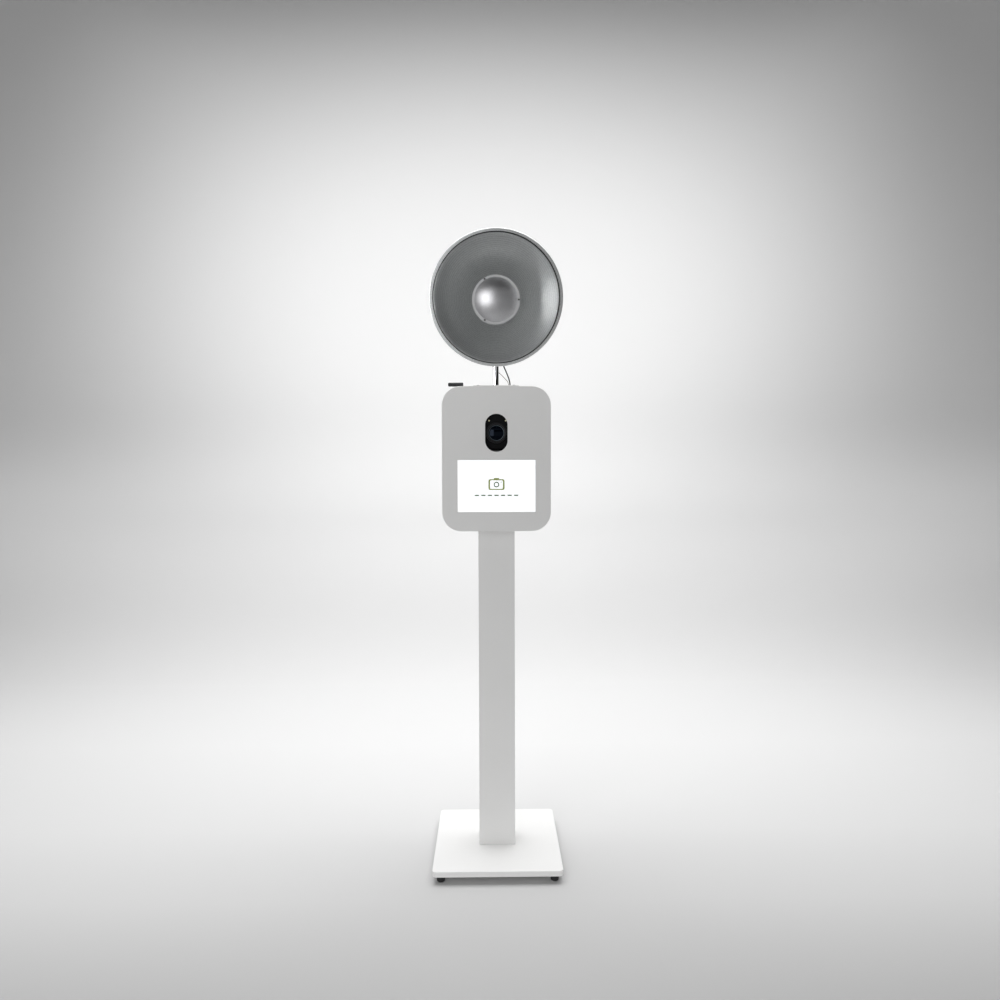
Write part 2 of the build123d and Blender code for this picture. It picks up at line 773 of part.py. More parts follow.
with BuildPart() as power_dial:
    with BuildSketch(head_face(-188.2)):
        with Locations((0, head_up - 2)):
            Circle(3)
    extrude(amount=-6)
    with BuildSketch(head_face(-191.4)):
        with Locations((0, head_up - 2)):
            Circle(12)
            with PolarLocations(12.3, 24):
                Circle(0.7, mode=Mode.SUBTRACT)
    extrude(amount=-11)
power_dial.part.label = "power_dial"

with BuildPart() as test_button:
    with BuildSketch(head_face(-189.4)):
        with Locations((24, head_up - 26)):
            Circle(6)
    extrude(amount=-4.6)
    fillet(test_button.faces().sort_by(Axis.Y)[-1].edges(), 1.2)
test_button.part.label = "test_button"

with BuildPart() as head_switch:
    with BuildSketch(Plane(origin=head_point(-30.4, 0, 0), x_dir=ahead, z_dir=(-1, 0, 0))):
        with BuildLine():
            Polyline((-188.6, head_up - 33), (-189.6, head_up - 35), (-194.6, head_up - 34.6))
            Polyline((-194.6, head_up - 34.6), (-192.4, head_up - 26), (-194.6, head_up - 17.4))
            Polyline((-194.6, head_up - 17.4), (-189.6, head_up - 17), (-188.6, head_up - 19))
            Line((-188.6, head_up - 19), (-188.6, head_up - 33))
        make_face()
    extrude(amount=-12.8)
head_switch.part.label = "head_switch"

with BuildPart() as flash_tube:
    with BuildSketch(head_side):
        with Locations((58, head_up + 25)):
            Circle(3.6)
    revolve(axis=head_axis)
    with BuildSketch(head_face(40)):
        with Locations([(-25, head_up), (25, head_up)]):
            Circle(2.4)
    extrude(amount=18)
flash_tube.part.label = "flash_tube"

with BuildPart() as modelling_lamp:
    with BuildSketch(head_side):
        with BuildLine():
            Polyline((40, head_up), (40, head_up + 9), (50, head_up + 9), (54, head_up + 13), (72, head_up + 13))
            ThreePointArc((72, head_up + 13), (81.2, head_up + 9.2), (85, head_up + 1))
            Polyline((85, head_up + 1), (85, head_up), (40, head_up))
        make_face()
    revolve(axis=head_axis)
modelling_lamp.part.label = "modelling_lamp"

with BuildPart() as dish_mount_ring:
    with BuildSketch(head_face(40)):
        with Locations((0, head_up)):
            Circle(66)
            with PolarLocations(66.6, 40):
                Circle(1.4, mode=Mode.SUBTRACT)
            Circle(44, mode=Mode.SUBTRACT)
    extrude(amount=16)
dish_mount_ring.part.label = "dish_mount_ring"

with BuildPart() as dish_bowl:
    with BuildSketch(head_side):
        with BuildLine():
            ThreePointArc((56.8, head_up + 80), (134, head_up + 157.5), (201.2, head_up + 198.6))
        trace(line_width=1.6)
        with Locations((56.8, head_up + 68)):
            Rectangle(1.6, 26)
        with BuildLine():
            Polyline((193.2, head_up + 194.5), (193.2, head_up + 207), (195.5, head_up + dish_r))
            Polyline((195.5, head_up + dish_r), (200.2, head_up + dish_r), (rim_s, head_up + dish_r - 1.5))
            Polyline((rim_s, head_up + dish_r - 1.5), (rim_s, head_up + 202.2), (196, head_up + 202))
            Polyline((196, head_up + 202), (196, head_up + 194.5), (193.2, head_up + 194.5))
        make_face()
    revolve(axis=head_axis)
dish_bowl.part.label = "dish_bowl"

flange_s = 132.9
dome_r = deflector_r - 8
post_r = deflector_r - 3.5
post_spots = [(post_r * cos(radians(a)), head_up + post_r * sin(radians(a))) for a in (0, 120, 240)]
with BuildPart() as deflector_posts:
    with BuildSketch(head_face(57.6)):
        with Locations(post_spots):
            Circle(3)
    extrude(amount=flange_s - 57.6)
deflector_posts.part.label = "deflector_posts"

with BuildPart() as deflector:
    with BuildSketch(head_side):
        with BuildLine():
            Polyline((flange_s, head_up + deflector_r), (flange_s, head_up + dome_r))
            ThreePointArc((flange_s, head_up + dome_r), (148.6, head_up + 37.2), (154.2, head_up + 1))
            Polyline((154.2, head_up + 1), (154.2, head_up), (155.7, head_up), (155.7, head_up + 1))
            ThreePointArc((155.7, head_up + 1), (150.0, head_up + 38), (flange_s + 1.5, head_up + dome_r + 1))
            Polyline((flange_s + 1.5, head_up + dome_r + 1), (flange_s + 1.5, head_up + deflector_r))
            Line((flange_s + 1.5, head_up + deflector_r), (flange_s, head_up + deflector_r))
        make_face()
    revolve(axis=head_axis)
    with BuildSketch(head_face(flange_s - 1)):
        with Locations(post_spots):
            Circle(1.55)
    extrude(amount=4, mode=Mode.SUBTRACT)
deflector.part.label = "deflector"

with BuildPart() as deflector_screws:
    with BuildSketch(head_face(flange_s + 1.5)):
        with Locations(post_spots):
            Circle(2.9)
    extrude(amount=1.8)
    with BuildSketch(head_face(flange_s)):
        with Locations(post_spots):
            Circle(1.5)
    extrude(amount=1.5)
deflector_screws.part.label = "deflector_screws"

inlet_s, gland_len = -150.0, 22.0
gland_end = head_point(0, inlet_s, head_up - head_size / 2 - gland_len)
with BuildPart() as cord_entries:
    with BuildSketch(Plane(origin=head_point(0, inlet_s, 26), x_dir=(1, 0, 0), z_dir=-above)):
        with Locations((20, 0)):
            RectangleRounded(26, 20, 3)
        with Locations((-20, 0)):
            Circle(5)
    extrude(amount=10)
    with BuildSketch(Plane(origin=head_point(0, inlet_s, 16), x_dir=(1, 0, 0), z_dir=-above)):
        with Locations((20, 0)):
            Circle(6)
        with Locations((-20, 0)):
            Circle(3)
    extrude(amount=gland_len - 10)
cord_entries.part.label = "cord_entries"

# ---------------------------------------------------------------- cords
rise = [(24, clip_z1), (24, 1796), (53, 1814), (95, 1814), (135, 1822)]
last_bend = gland_end - above * 24
power_lower_route = [(50, 20, 1641), (50, 20, 1662), (39, 21, 1692), (22, 24, 1730), (22, 24, clip_z0)]
sync_lower_route = [
    (45, 20, 1641), (45, 20, 1659), (33, 22, 1674), (13, 24, 1694), (-6, 26, 1709), (-20, 24, 1733),
    (-20, 24, clip_z0),
]
power_lower_route = [(x, column_y + y, z) for x, y, z in power_lower_route]
sync_lower_route = [(x, column_y + y, z) for x, y, z in sync_lower_route]
power_upper_route = [(22, column_y + rise[0][0], rise[0][1])]
power_upper_route += [(22, column_y + rise[1][0], rise[1][1])]
power_upper_route += [(21, column_y + y, z) for y, z in rise[2:]]
power_upper_route += [(20, p.Y, p.Z) for p in (last_bend, gland_end)]
sync_upper_route = [(-20, column_y + y, z) for y, z in rise]
sync_upper_route += [(-20, p.Y, p.Z) for p in (last_bend, gland_end)]

with BuildPart() as power_cord_lower:
    with BuildLine() as path:
        FilletPolyline(*power_lower_route, radius=cord_radii(power_lower_route))
    with BuildSketch(Plane(origin=path.line @ 0, z_dir=path.line % 0)):
        Circle(power_cord_r)
    sweep(path=path.line)
power_cord_lower.part.label = "power_cord_lower"

with BuildPart() as power_cord_upper:
    with BuildLine() as path:
        FilletPolyline(*power_upper_route, radius=cord_radii(power_upper_route))
    with BuildSketch(Plane(origin=path.line @ 0, z_dir=path.line % 0)):
        Circle(power_cord_r)
    sweep(path=path.line)
power_cord_upper.part.label = "power_cord_upper"

with BuildPart() as sync_cord_lower:
    with BuildLine() as path:
        FilletPolyline(*sync_lower_route, radius=cord_radii(sync_lower_route))
    with BuildSketch(Plane(origin=path.line @ 0, z_dir=path.line % 0)):
        Circle(sync_cord_r)
    sweep(path=path.line)
sync_cord_lower.part.label = "sync_cord_lower"

with BuildPart() as sync_cord_upper:
    with BuildLine() as path:
        FilletPolyline(*sync_upper_route, radius=cord_radii(sync_upper_route))
    with BuildSketch(Plane(origin=path.line @ 0, z_dir=path.line % 0)):
        Circle(sync_cord_r)
    sweep(path=path.line)
sync_cord_upper.part.label = "sync_cord_upper"

for name, route in (
    ("power_cord_lower", power_lower_route),
    ("power_cord_upper", power_upper_route),
    ("sync_cord_lower", sync_lower_route),
    ("sync_cord_upper", sync_upper_route),
):
    print(name, "bend radii:", [round(r, 1) for r in cord_radii(route)])

for node in (
    rubber_feet, foot_screws, base_ballast_plate, base_cover, column, column_bolts, power_inlet,
    power_switch, housing_shell, front_panel, tablet_frame, tablet_display, tablet_body,
    camera_bracket, camera_shelf, shelf_knobs, camera_body, lens_barrel, lens_glass, zoom_ring,
    lens_shroud, shroud_screws, rear_door, shell_hinge_leaf, door_hinge_leaf, hinge_pin,
    door_lock_body, door_lock_cam, fan_frame, fan_rotor, mast_plate, cord_grommet, top_screws,
    mast, antenna_mount, antenna_stub, tilt_bracket, swivel_knob, tilt_shaft, tilt_lever,
    cord_clip, head_foot, head_body, head_front_ring, head_rear_panel, power_dial, test_button,
    head_switch, flash_tube, modelling_lamp, dish_mount_ring, dish_bowl, deflector_posts,
    deflector, deflector_screws, cord_entries, power_cord_lower, power_cord_upper, sync_cord_lower,
    sync_cord_upper,
):
    export_step(node.part, f"parts/{node.part.label}.step")
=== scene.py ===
import json
from math import cos, pi, radians, sin

import bmesh
import bpy
from mathutils import Matrix, Vector


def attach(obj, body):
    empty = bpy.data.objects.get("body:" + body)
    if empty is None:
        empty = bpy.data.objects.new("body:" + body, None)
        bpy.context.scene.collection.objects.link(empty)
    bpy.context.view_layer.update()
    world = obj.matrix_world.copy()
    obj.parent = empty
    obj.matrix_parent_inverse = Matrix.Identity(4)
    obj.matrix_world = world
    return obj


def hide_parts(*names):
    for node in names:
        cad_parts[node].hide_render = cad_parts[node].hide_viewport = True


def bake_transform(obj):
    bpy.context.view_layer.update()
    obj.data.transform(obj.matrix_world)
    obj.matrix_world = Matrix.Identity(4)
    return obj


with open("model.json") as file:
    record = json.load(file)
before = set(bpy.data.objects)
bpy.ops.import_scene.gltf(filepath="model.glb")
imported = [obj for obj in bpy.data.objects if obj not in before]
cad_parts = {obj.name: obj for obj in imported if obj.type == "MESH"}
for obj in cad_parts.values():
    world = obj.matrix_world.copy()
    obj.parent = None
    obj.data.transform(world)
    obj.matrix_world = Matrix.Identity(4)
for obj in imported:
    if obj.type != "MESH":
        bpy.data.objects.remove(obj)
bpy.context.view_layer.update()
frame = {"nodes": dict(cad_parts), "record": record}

COLUMN_Y = 0.0189
SCREEN_Y = COLUMN_Y - 0.107
PIVOT = Vector((0.0, COLUMN_Y, 1.8463))
PITCH = radians(10.5)
AHEAD = Vector((0.0, -cos(PITCH), -sin(PITCH)))
ABOVE = Vector((0.0, -sin(PITCH), cos(PITCH)))
HEAD_UP = 0.088
FLASH = PIVOT + ABOVE * HEAD_UP
LENS_Z = 1.4785
PICTURE_Z = 1.3052
POWER_CORD_R = 0.00225
SYNC_CORD_R = 0.0011

scene = bpy.context.scene


def add_object(name, bm):
    """Turn a finished bmesh into an object in the scene."""
    mesh = bpy.data.meshes.new(name)
    bm.to_mesh(mesh)
    bm.free()
    obj = bpy.data.objects.new(name, mesh)
    scene.collection.objects.link(obj)
    return obj


def circle_angles(count):
    return [2 * pi * k / count for k in range(count)]


# ---------------------------------------------------------------- camera
def make_camera():
    data = bpy.data.cameras.new("camera")
    data.sensor_width = 36.0
    data.lens = 25.533
    cam = bpy.data.objects.new("camera", data)
    scene.collection.objects.link(cam)
    cam.location = (-0.0214, COLUMN_Y - 2.4813, 1.3463)
    yaw, pitch, roll = radians(0.796), radians(2.237), radians(-0.157)
    look = Vector((sin(yaw) * cos(pitch), cos(yaw) * cos(pitch), -sin(pitch)))
    turn = look.to_track_quat("-Z", "Y").to_matrix() @ Matrix.Rotation(roll, 3, "Z")
    cam.rotation_euler = turn.to_euler()
    scene.camera = cam


make_camera()


# ---------------------------------------------------------------- materials
def node_material(name):
    m = bpy.data.materials.new(name)
    m.use_nodes = True
    tree = m.node_tree
    return m, tree, tree.nodes["Principled BSDF"]


def noise(tree, scale, detail=3.0, rough=0.5, stretch=None):
    coords = tree.nodes.new("ShaderNodeTexCoord")
    tex = tree.nodes.new("ShaderNodeTexNoise")
    tex.inputs["Scale"].default_value = scale
    tex.inputs["Detail"].default_value = detail
    tex.inputs["Roughness"].default_value = rough
    if stretch:
        mapping = tree.nodes.new("ShaderNodeMapping")
        mapping.inputs["Scale"].default_value = stretch
        tree.links.new(coords.outputs["Object"], mapping.inputs["Vector"])
        tree.links.new(mapping.outputs["Vector"], tex.inputs["Vector"])
    else:
        tree.links.new(coords.outputs["Object"], tex.inputs["Vector"])
    return tex


def ramp(tree, source, low, high, start=0.35, end=0.65):
    r = tree.nodes.new("ShaderNodeValToRGB")
    r.color_ramp.elements[0].position = start
    r.color_ramp.elements[1].position = end
    r.color_ramp.elements[0].color = low
    r.color_ramp.elements[1].color = high
    tree.links.new(source, r.inputs["Fac"])
    return r


def grey(v):
    return (v, v, v, 1.0)


def shade(colour, k):
    return (colour[0] * k, colour[1] * k, colour[2] * k, 1.0)


def surface(name, colour, rough, metal=0.0, spread=0.06, blotch=9.0, grain=900.0, depth=0.00002,
            rough_spread=0.08, stretch=None, coat=0.0, specular=0.5):
    """A finish with slow colour drift, uneven gloss and fine relief."""
    m, tree, bsdf = node_material(name)
    drift = noise(tree, blotch, 4.0)
    tint = ramp(tree, drift.outputs["Fac"], shade(colour, 1 - spread), shade(colour, 1 + spread * 0.5))
    tree.links.new(tint.outputs["Color"], bsdf.inputs["Base Color"])
    gloss = noise(tree, blotch * 3.1, 5.0, stretch=stretch)
    span = tree.nodes.new("ShaderNodeMapRange")
    span.inputs["To Min"].default_value = max(0.02, rough - rough_spread)
    span.inputs["To Max"].default_value = min(1.0, rough + rough_spread)
    tree.links.new(gloss.outputs["Fac"], span.inputs["Value"])
    tree.links.new(span.outputs["Result"], bsdf.inputs["Roughness"])
    relief = noise(tree, grain, 2.0, 0.55, stretch)
    bump = tree.nodes.new("ShaderNodeBump")
    bump.inputs["Strength"].default_value = 0.6
    bump.inputs["Distance"].default_value = depth
    tree.links.new(relief.outputs["Fac"], bump.inputs["Height"])
    tree.links.new(bump.outputs["Normal"], bsdf.inputs["Normal"])
    bsdf.inputs["Metallic"].default_value = metal
    bsdf.inputs["Coat Weight"].default_value = coat
    bsdf.inputs["Specular IOR Level"].default_value = specular
    return m


def dish_metal(name, colour, rough, grain, depth, bands):
    """Pebbled reflector aluminium with faint spun rings about the head axis."""
    m, tree, bsdf = node_material(name)
    coords = tree.nodes.new("ShaderNodeTexCoord")
    shift = tree.nodes.new("ShaderNodeMapping")
    shift.vector_type = "TEXTURE"
    shift.inputs["Location"].default_value = FLASH
    shift.inputs["Rotation"].default_value = (PITCH, 0.0, 0.0)
    tree.links.new(coords.outputs["Object"], shift.inputs["Vector"])
    squash = tree.nodes.new("ShaderNodeMapping")
    squash.inputs["Scale"].default_value = (1.0, 0.0, 1.0)
    tree.links.new(shift.outputs["Vector"], squash.inputs["Vector"])
    rings = tree.nodes.new("ShaderNodeTexWave")
    rings.wave_type = "RINGS"
    rings.rings_direction = "SPHERICAL"
    rings.inputs["Scale"].default_value = bands
    rings.inputs["Distortion"].default_value = 0.4
    rings.inputs["Detail"].default_value = 2.0
    tree.links.new(squash.outputs["Vector"], rings.inputs["Vector"])
    speckle = noise(tree, grain, 2.0, 0.6)
    mix = tree.nodes.new("ShaderNodeMix")
    mix.data_type = "FLOAT"
    mix.inputs["Factor"].default_value = 0.18
    tree.links.new(speckle.outputs["Fac"], mix.inputs["A"])
    tree.links.new(rings.outputs["Fac"], mix.inputs["B"])
    tint = ramp(tree, mix.outputs["Result"], shade(colour, 0.80), shade(colour, 1.12), 0.3, 0.7)
    tree.links.new(tint.outputs["Color"], bsdf.inputs["Base Color"])
    bump = tree.nodes.new("ShaderNodeBump")
    bump.inputs["Strength"].default_value = 0.7
    bump.inputs["Distance"].default_value = depth
    tree.links.new(mix.outputs["Result"], bump.inputs["Height"])
    tree.links.new(bump.outputs["Normal"], bsdf.inputs["Normal"])
    bsdf.inputs["Metallic"].default_value = 1.0
    bsdf.inputs["Roughness"].default_value = rough
    return m


def screen_light(name):
    """A lit white display with a barely uneven tint, under smooth glass."""
    m, tree, bsdf = node_material(name)
    drift = noise(tree, 3.0, 2.0)
    tint = ramp(tree, drift.outputs["Fac"], (0.93, 0.97, 1.0, 1), (1.0, 1.0, 1.0, 1))
    tree.links.new(tint.outputs["Color"], bsdf.inputs["Base Color"])
    tree.links.new(tint.outputs["Color"], bsdf.inputs["Emission Color"])
    bsdf.inputs["Emission Strength"].default_value = 0.55
    bsdf.inputs["Roughness"].default_value = 0.12
    return m


def coated_glass(name, colour, rough=0.04):
    m, tree, bsdf = node_material(name)
    # Painted sheen: the base colour brightens towards the lens's grazing edges
    facing = tree.nodes.new("ShaderNodeLayerWeight")
    facing.inputs["Blend"].default_value = 0.35
    tint = ramp(tree, facing.outputs["Facing"], shade(colour, 0.25), shade(colour, 1.6), 0.0, 0.8)
    tree.links.new(tint.outputs["Color"], bsdf.inputs["Base Color"])
    bsdf.inputs["Roughness"].default_value = rough
    bsdf.inputs["Coat Weight"].default_value = 0.15
    bsdf.inputs["Coat Tint"].default_value = (0.55, 0.65, 1.0, 1.0)
    bsdf.inputs["Specular Tint"].default_value = (0.30, 0.55, 1.0, 1.0)
    bsdf.inputs["Specular IOR Level"].default_value = 0.12
    return m


def lamp_frost(name):
    m, tree, bsdf = node_material(name)
    cloud = noise(tree, 120.0, 3.0)
    tint = ramp(tree, cloud.outputs["Fac"], (0.75, 0.75, 0.7, 1), (0.92, 0.92, 0.88, 1))
    tree.links.new(tint.outputs["Color"], bsdf.inputs["Base Color"])
    bsdf.inputs["Roughness"].default_value = 0.35
    bsdf.inputs["Transmission Weight"].default_value = 0.5
    return m


MATERIALS = {
    "white_powder_coat": surface(
        "white_powder_coat", (0.846, 0.845, 0.838), rough=0.42, spread=0.02, blotch=2.2,
        grain=1100.0, depth=0.00003, rough_spread=0.06, coat=0.12,
    ),
    "chrome": surface(
        "chrome", (0.80, 0.80, 0.82), rough=0.07, metal=1.0, spread=0.04, blotch=30.0,
        grain=2200.0, depth=0.000002, rough_spread=0.04,
    ),
    "dish_aluminium": dish_metal(
        "dish_aluminium", (0.76, 0.775, 0.775), rough=0.44, grain=330.0, depth=0.00040,
        bands=60.0,
    ),
    "deflector_aluminium": dish_metal(
        "deflector_aluminium", (0.80, 0.80, 0.82), rough=0.38, grain=900.0, depth=0.00002,
        bands=90.0,
    ),
    "zinc_steel": surface(
        "zinc_steel", (0.58, 0.59, 0.60), rough=0.34, metal=1.0, spread=0.12, blotch=22.0,
        grain=700.0, depth=0.00002, rough_spread=0.10, stretch=(1.0, 1.0, 6.0),
    ),
    "pale_brass_screws": surface(
        "pale_brass_screws", (0.92, 0.86, 0.58), rough=0.34, metal=0.35, spread=0.1, blotch=60.0,
    ),
    # Near-black finish: the shroud's own black, darkened further with painted shade of the camera
    # recess
    "black_and_painted_shade": surface(
        "black_and_painted_shade", (0.007, 0.007, 0.008), rough=0.75, metal=0.0, spread=0.2, blotch=26.0,
        grain=1500.0, depth=0.00004, specular=0.15,
    ),
    "lens_black": surface(
        "lens_black", (0.012, 0.012, 0.014), rough=0.42, metal=0.0, spread=0.2, blotch=30.0,
        grain=1500.0, depth=0.00002, specular=0.3,
    ),
    "dark_steel": surface(
        "dark_steel", (0.07, 0.07, 0.075), rough=0.5, metal=0.2, spread=0.15, blotch=60.0,
        specular=0.3,
    ),
    # Painted highlight: bluish grey for the thin ring that stands in for light caught on the lens
    # barrel's front bevel
    "lens_ring_painted_highlight": surface(
        "lens_ring_painted_highlight", (0.12, 0.16, 0.19), rough=0.35, metal=0.2, spread=0.1, blotch=60.0,
    ),
    "flange_grey": surface(
        "flange_grey", (0.72, 0.72, 0.73), rough=0.5, metal=0.40, spread=0.05, blotch=30.0,
        grain=900.0, depth=0.00002,
    ),
    "black_rubber": surface(
        "black_rubber", (0.022, 0.022, 0.023), rough=0.72, metal=0.0, spread=0.2, blotch=30.0,
        grain=500.0, depth=0.00005,
    ),
    "grey_sheath": surface(
        "grey_sheath", (0.30, 0.26, 0.23), rough=0.6, metal=0.0, spread=0.15, blotch=40.0,
        grain=900.0, depth=0.00003,
    ),
    "black_plastic": surface(
        "black_plastic", (0.028, 0.028, 0.031), rough=0.48, metal=0.0, spread=0.2, blotch=26.0,
        grain=1500.0, depth=0.00004, rough_spread=0.1,
    ),
    "grey_plastic": surface(
        "grey_plastic", (0.36, 0.36, 0.37), rough=0.4, metal=0.0, spread=0.06, blotch=18.0,
        grain=1400.0, depth=0.00002,
    ),
    "black_paint": surface(
        "black_paint", (0.03, 0.03, 0.032), rough=0.4, metal=0.0, spread=0.2, blotch=16.0,
        grain=1000.0, depth=0.00005, rough_spread=0.1,
    ),
    "ring_aluminium": surface(
        "ring_aluminium", (0.26, 0.26, 0.27), rough=0.32, metal=1.0, spread=0.1, blotch=30.0,
        grain=900.0, depth=0.00002,
    ),
    "screen_glass": screen_light("screen_glass"),
    "lens_coating_glass": coated_glass("lens_coating_glass", (0.003, 0.006, 0.014), 0.05),
    "lamp_glass": lamp_frost("lamp_glass"),
}
PAINTED = {"deflector": "deflector_aluminium", "deflector_screws": "dark_steel",
           "lens_shroud": "black_and_painted_shade", "camera_body": "black_and_painted_shade", "lens_barrel": "lens_black",
           "zoom_ring": "lens_black", "camera_shelf": "black_and_painted_shade"}
for part in frame["record"]["subparts"]:
    node = frame["nodes"][part["node"]]
    chosen = MATERIALS[PAINTED.get(part["node"], part["material_slot"])]
    node.data.materials.clear()
    node.data.materials.append(chosen)


# ---------------------------------------------------------------- cords
def smooth_line(name, route):
    """The cord's centreline: one smooth spline over its route points."""
    curve = bpy.data.curves.new(name + "_line", "CURVE")
    curve.dimensions = "3D"
    spline = curve.splines.new("NURBS")
    spline.points.add(len(route) - 1)
    for point, (x, y, z) in zip(spline.points, route):
        point.co = (x, y, z, 1.0)
    spline.order_u = 3
    spline.use_endpoint_u = True
    spline.resolution_u = 24
    curve.resolution_u = 24
    return curve


def line_points(curve):
    holder = bpy.data.objects.new(curve.name + "_probe", curve)
    scene.collection.objects.link(holder)
    bpy.context.view_layer.update()
    depsgraph = bpy.context.evaluated_depsgraph_get()
    mesh = bpy.data.meshes.new_from_object(holder.evaluated_get(depsgraph))
    points = [v.co.copy() for v in mesh.vertices]
    bpy.data.objects.remove(holder)
    bpy.data.meshes.remove(mesh)
    return points


def tube_mesh(name, points, radius, sides=20):
    bm = bmesh.new()
    rings = []
    side = None
    for i, p in enumerate(points):
        along = (points[min(i + 1, len(points) - 1)] - points[max(i - 1, 0)]).normalized()
        if side is None:
            side = along.orthogonal().normalized()
        side = (side - along * side.dot(along)).normalized()
        other = along.cross(side)
        rings.append([
            bm.verts.new(p + (side * cos(a) + other * sin(a)) * radius)
            for a in circle_angles(sides)
        ])
    for low, high in zip(rings, rings[1:]):
        for k in range(sides):
            face = bm.faces.new((low[k], low[(k + 1) % sides], high[(k + 1) % sides], high[k]))
            face.smooth = True
    bm.faces.new(list(reversed(rings[0])))
    bm.faces.new(rings[-1])
    bm.normal_update()
    return add_object(name, bm)


def lay_cord(name, node, route, radius, slot, bodies, start, end, stiffness):
    line = line_points(smooth_line(name, route))
    obj = tube_mesh(name, line, radius)
    obj.data.materials.append(MATERIALS[slot])
    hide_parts(node)
    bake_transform(obj)


def beside(points):
    return [(x, COLUMN_Y + y, z) for x, y, z in points]


gland_end = PIVOT + AHEAD * -0.150 + ABOVE * 0.004
last_bend = gland_end - ABOVE * 0.024
rise = [(0.024, 1.769), (0.024, 1.796), (0.053, 1.814), (0.095, 1.814), (0.135, 1.822)]
power_lower = beside([(0.050, 0.020, 1.641), (0.050, 0.020, 1.662), (0.039, 0.021, 1.692),
                      (0.022, 0.024, 1.730), (0.022, 0.024, 1.757)])
sync_lower = beside([(0.045, 0.020, 1.641), (0.045, 0.020, 1.659), (0.033, 0.022, 1.674),
                     (0.013, 0.024, 1.694), (-0.006, 0.026, 1.709), (-0.020, 0.024, 1.733),
                     (-0.020, 0.024, 1.757)])
power_upper = beside([(0.022, *rise[0]), (0.022, *rise[1])] + [(0.021, *p) for p in rise[2:]])
power_upper += [(0.020, p.y, p.z) for p in (last_bend, gland_end)]
sync_upper = beside([(-0.020, *p) for p in rise])
sync_upper += [(-0.020, p.y, p.z) for p in (last_bend, gland_end)]

rise_bend = ((0, COLUMN_Y, 1.647), (0, COLUMN_Y, 1.750))
head_bend = ((0, COLUMN_Y + 0.030, 1.822), (0, COLUMN_Y + 0.140, 1.822))

lay_cord("power_cord_rise", "power_cord_lower", power_lower, POWER_CORD_R, "black_rubber",
         ("stand", "bracket"), *rise_bend, "medium")
lay_cord("sync_cord_rise", "sync_cord_lower", sync_lower, SYNC_CORD_R, "grey_sheath",
         ("stand", "bracket"), *rise_bend, "limp")
lay_cord("power_cord_to_head", "power_cord_upper", power_upper, POWER_CORD_R, "black_rubber",
         ("bracket", "head"), *head_bend, "medium")
lay_cord("sync_cord_to_head", "sync_cord_upper", sync_upper, SYNC_CORD_R, "grey_sheath",
         ("bracket", "head"), *head_bend, "limp")


# ---------------------------------------------------------------- fine rings
def flat_ring(name, centre, ahead, radii, span, finish, body, turns=128):
    """Flat ring about an axis; radii are inner and outer, span runs along the axis from centre."""
    bm = bmesh.new()
    across = Vector((1.0, 0.0, 0.0))
    above = across.cross(ahead)
    (inner, outer), (near, far) = radii, span
    loops = []
    for radius, s in ((inner, far), (outer, far), (outer, near), (inner, near)):
        loops.append([
            bm.verts.new(centre + ahead * s + (across * cos(a) + above * sin(a)) * radius)
            for a in circle_angles(turns)
        ])
    for one, two in zip(loops, loops[1:] + loops[:1]):
        for k in range(turns):
            n = (k + 1) % turns
            bm.faces.new((one[k], one[n], two[n], two[k]))
    bmesh.ops.recalc_face_normals(bm, faces=bm.faces)
    obj = add_object(name, bm)
    obj.data.materials.append(MATERIALS[finish])
    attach(obj, body)


# Painted shade: a near-black annulus stands in for the shadow line in the groove inside the dish rim
flat_ring("dish_groove_painted_shade", FLASH, AHEAD, radii=(0.1996, 0.2021), span=(0.20020, 0.20150),
          finish="black_and_painted_shade", body="head")
flat_ring("deflector_flange_face", FLASH, AHEAD, radii=(0.0704, 0.0777), span=(0.13435, 0.13460),
          finish="flange_grey", body="head")
# Painted highlight: a thin grey ring in front of the lens, where the barrel's bevel catches light
flat_ring("lens_painted_highlight_ring", Vector((0.0, COLUMN_Y, LENS_Z)), Vector((0.0, -1.0, 0.0)),
          radii=(0.0243, 0.0257), span=(0.0876, 0.0886),
          finish="lens_ring_painted_highlight", body="camera_carriage")


# ---------------------------------------------------------------- screen picture
def rounded_bar(name, centre, width, height, radius, y, thick, material, hole=0.0):
    """A flat rounded shape on the screen, facing the front; hole is an inner radius for a ring."""
    bm = bmesh.new()
    outline = []
    for sx, sz, start in ((1, 1, 0), (-1, 1, 90), (-1, -1, 180), (1, -1, 270)):
        for k in range(9):
            a = radians(start + 90 * k / 8)
            outline.append((centre[0] + sx * (width / 2 - radius) + radius * cos(a),
                            centre[1] + sz * (height / 2 - radius) + radius * sin(a)))
    front = [bm.verts.new((x, y - thick, z)) for x, z in outline]
    back = [bm.verts.new((x, y, z)) for x, z in outline]
    count = len(outline)
    if hole:
        inner_at = [(centre[0] + (x - centre[0]) * hole, centre[1] + (z - centre[1]) * hole)
                    for x, z in outline]
        inner_front = [bm.verts.new((x, y - thick, z)) for x, z in inner_at]
        inner_back = [bm.verts.new((x, y, z)) for x, z in inner_at]
        for k in range(count):
            n = (k + 1) % count
            bm.faces.new((front[k], front[n], inner_front[n], inner_front[k]))
            bm.faces.new((back[n], back[k], inner_back[k], inner_back[n]))
            bm.faces.new((inner_front[k], inner_front[n], inner_back[n], inner_back[k]))
    else:
        bm.faces.new(front)
        bm.faces.new(list(reversed(back)))
    for k in range(count):
        n = (k + 1) % count
        bm.faces.new((front[n], front[k], back[k], back[n]))
    bmesh.ops.recalc_face_normals(bm, faces=bm.faces)
    obj = add_object(name, bm)
    obj.data.materials.append(material)
    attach(obj, "stand")


